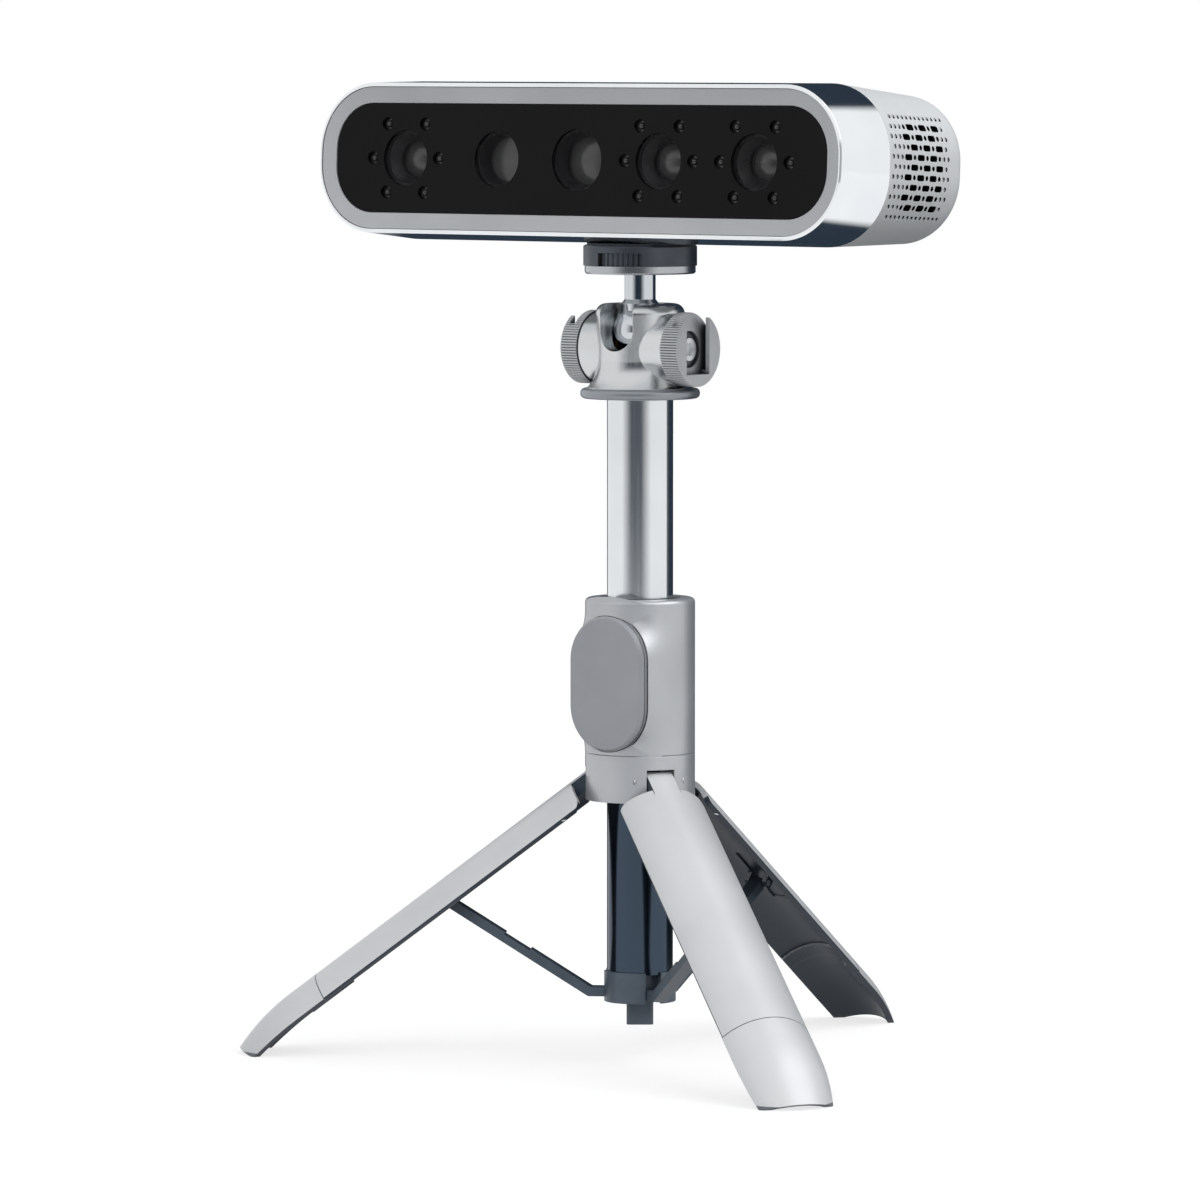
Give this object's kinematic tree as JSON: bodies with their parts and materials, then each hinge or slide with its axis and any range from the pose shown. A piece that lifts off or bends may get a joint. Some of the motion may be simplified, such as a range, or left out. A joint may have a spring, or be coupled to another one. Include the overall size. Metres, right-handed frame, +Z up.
{
  "type": "face scanner on folding tripod",
  "caption": "Wide face scanner with a black camera panel on a ball head, telescoping column and folding mini tripod with curved legs, struts and a remote in the grip.",
  "frame": {"origin": "on the floor, under the middle of the tripod's footprint box", "axes": "+Z up along the column, -Y the way the scanner's panel faces, +X to the right seen from the front"},
  "size_m": [0.238, 0.2104, 0.325],
  "materials": {
    "panel_black": "polished",
    "window_glass": "polished",
    "emitter_white": "moulded",
    "board_green": "solder mask",
    "bezel_grey": "fine texture",
    "band_chrome": "polished",
    "housing_grey": "fine texture",
    "barrel_black": "matte",
    "lens_glass": "polished",
    "bracket_alu": "as cut",
    "steel": "satin",
    "brass": "turned",
    "plate_dark": "anodised",
    "plate_bright": "turned",
    "pad_rubber": "matte",
    "ball_chrome": "polished",
    "head_chrome": "polished",
    "ring_grey": "satin",
    "knob_silver": "satin",
    "nylon": "moulded",
    "tube_steel": "polished",
    "grip_silver": "satin",
    "remote_grey": "satin",
    "leg_silver": "satin",
    "sole_rubber": "matte",
    "strut_dark": "satin",
    "collar_dark": "satin"
  },
  "bodies": {
    "grip": {"grip_shell": "grip_silver", "hub": "grip_silver", "hinge_pins": "steel", "slide_bushes": "nylon"},
    "column": {"column_tube": "tube_steel", "column_bush": "nylon", "collar": "collar_dark", "column_plug": "collar_dark"},
    "mast": {"mast_tube": "tube_steel", "mast_slider": "nylon", "base_ring": "ring_grey", "ball_housing": "head_chrome", "ball_seat": "nylon", "clamp_pads": "brass"},
    "ball": {"ball_stem": "ball_chrome"},
    "head": {"plate_foot": "plate_bright", "mount_plate": "plate_dark", "plate_pad": "pad_rubber", "front_panel": "panel_black", "window_glasses": "window_glass", "emitters": "emitter_white", "emitter_boards": "board_green", "front_bezel": "bezel_grey", "chrome_band": "band_chrome", "rear_housing": "housing_grey", "lens_barrels": "barrel_black", "lenses": "lens_glass", "optical_bracket": "bracket_alu", "bracket_screws": "steel", "main_board": "board_green", "board_spacers": "brass", "heat_sink": "bracket_alu", "data_socket": "steel", "mount_insert": "brass"},
    "wheel": {"thumb_wheel": "plate_dark", "camera_screw": "steel"},
    "right_knob": {"right_knob": "knob_silver", "right_knob_screw": "steel"},
    "left_knob": {"left_knob": "knob_silver", "left_knob_screw": "steel"},
    "remote": {"remote_body": "remote_grey", "remote_board": "board_green", "remote_cell": "steel"},
    "key": {"remote_key": "remote_grey"},
    "right_leg": {"right_leg": "leg_silver", "right_foot_cap": "leg_silver", "right_foot_sole": "sole_rubber"},
    "right_strut": {"right_strut": "strut_dark", "right_strut_pins": "steel"},
    "rear_leg": {"rear_leg": "leg_silver", "rear_foot_cap": "leg_silver", "rear_foot_sole": "sole_rubber"},
    "rear_strut": {"rear_strut": "strut_dark", "rear_strut_pins": "steel"},
    "left_leg": {"left_leg": "leg_silver", "left_foot_cap": "leg_silver", "left_foot_sole": "sole_rubber"},
    "left_strut": {"left_strut": "strut_dark", "left_strut_pins": "steel"}
  },
  "joints": [
    {"name": "column_slide", "type": "slide", "parent": "grip", "child": "column", "axis": [0, 0, 1], "range_m": [-0.05902, 0]},
    {"name": "mast_slide", "type": "slide", "parent": "column", "child": "mast", "axis": [0, 0, 1], "range_m": [0, 0.14]},
    {"name": "ball_tilt", "type": "hinge", "parent": "mast", "child": "ball", "pos_m": [0, -0.02985, 0.2431], "axis": [1, 0, 0], "range_deg": [-10, 85]},
    {"name": "head_pan", "type": "hinge", "parent": "ball", "child": "head", "pos_m": [0, -0.02985, 0.2431], "axis": [0, 0, 1], "continuous": true},
    {"name": "wheel_turn", "type": "hinge", "parent": "head", "child": "wheel", "pos_m": [0, -0.02985, 0.2431], "axis": [0, 0, 1], "continuous": true},
    {"name": "right_knob_turn", "type": "hinge", "parent": "mast", "child": "right_knob", "pos_m": [0.0171, -0.02985, 0.2371], "axis": [1, 0, 0], "range_deg": [0, 360]},
    {"name": "left_knob_turn", "type": "hinge", "parent": "mast", "child": "left_knob", "pos_m": [-0.0171, -0.02985, 0.2371], "axis": [-1, 0, 0], "range_deg": [0, 360]},
    {"name": "remote_lift", "type": "slide", "parent": "grip", "child": "remote", "axis": [0, -1, 0], "range_m": [0, 0.012]},
    {"name": "key_press", "type": "slide", "parent": "remote", "child": "key", "axis": [0, 1, 0], "range_m": [0, 0.0004], "stiffness_N_per_m": 1500, "springref_m": -0.0006},
    {"name": "right_leg_fold", "type": "hinge", "parent": "grip", "child": "right_leg", "pos_m": [0.01282, -0.03725, 0.0944], "axis": [0.5, 0.866, 0], "range_deg": [-0.5, 53.2]},
    {"name": "right_strut_fold", "type": "hinge", "parent": "right_leg", "child": "right_strut", "pos_m": [0.05755, -0.06307, 0.05329], "axis": [0.5, 0.866, 0], "range_deg": [-111.3, 0.5]},
    {"name": "rear_leg_fold", "type": "hinge", "parent": "grip", "child": "rear_leg", "pos_m": [0, -0.01504, 0.0944], "axis": [-1, 0, 0], "range_deg": [-0.5, 53.2]},
    {"name": "rear_strut_fold", "type": "hinge", "parent": "rear_leg", "child": "rear_strut", "pos_m": [0, 0.03661, 0.05329], "axis": [-1, 0, 0], "range_deg": [-111.3, 0.5]},
    {"name": "left_leg_fold", "type": "hinge", "parent": "grip", "child": "left_leg", "pos_m": [-0.01282, -0.03725, 0.0944], "axis": [0.5, -0.866, 0], "range_deg": [-0.5, 53.2]},
    {"name": "left_strut_fold", "type": "hinge", "parent": "left_leg", "child": "left_strut", "pos_m": [-0.05755, -0.06307, 0.05329], "axis": [0.5, -0.866, 0], "range_deg": [-111.3, 0.5]}
  ],
  "couplings": [
    {"joint": "right_leg_fold", "follows": "column_slide", "rad_per_m": -15.583},
    {"joint": "right_strut_fold", "follows": "column_slide", "rad_per_m": 32.763},
    {"joint": "rear_leg_fold", "follows": "column_slide", "rad_per_m": -15.583},
    {"joint": "rear_strut_fold", "follows": "column_slide", "rad_per_m": 32.763},
    {"joint": "left_leg_fold", "follows": "column_slide", "rad_per_m": -15.583},
    {"joint": "left_strut_fold", "follows": "column_slide", "rad_per_m": 32.763}
  ]
}
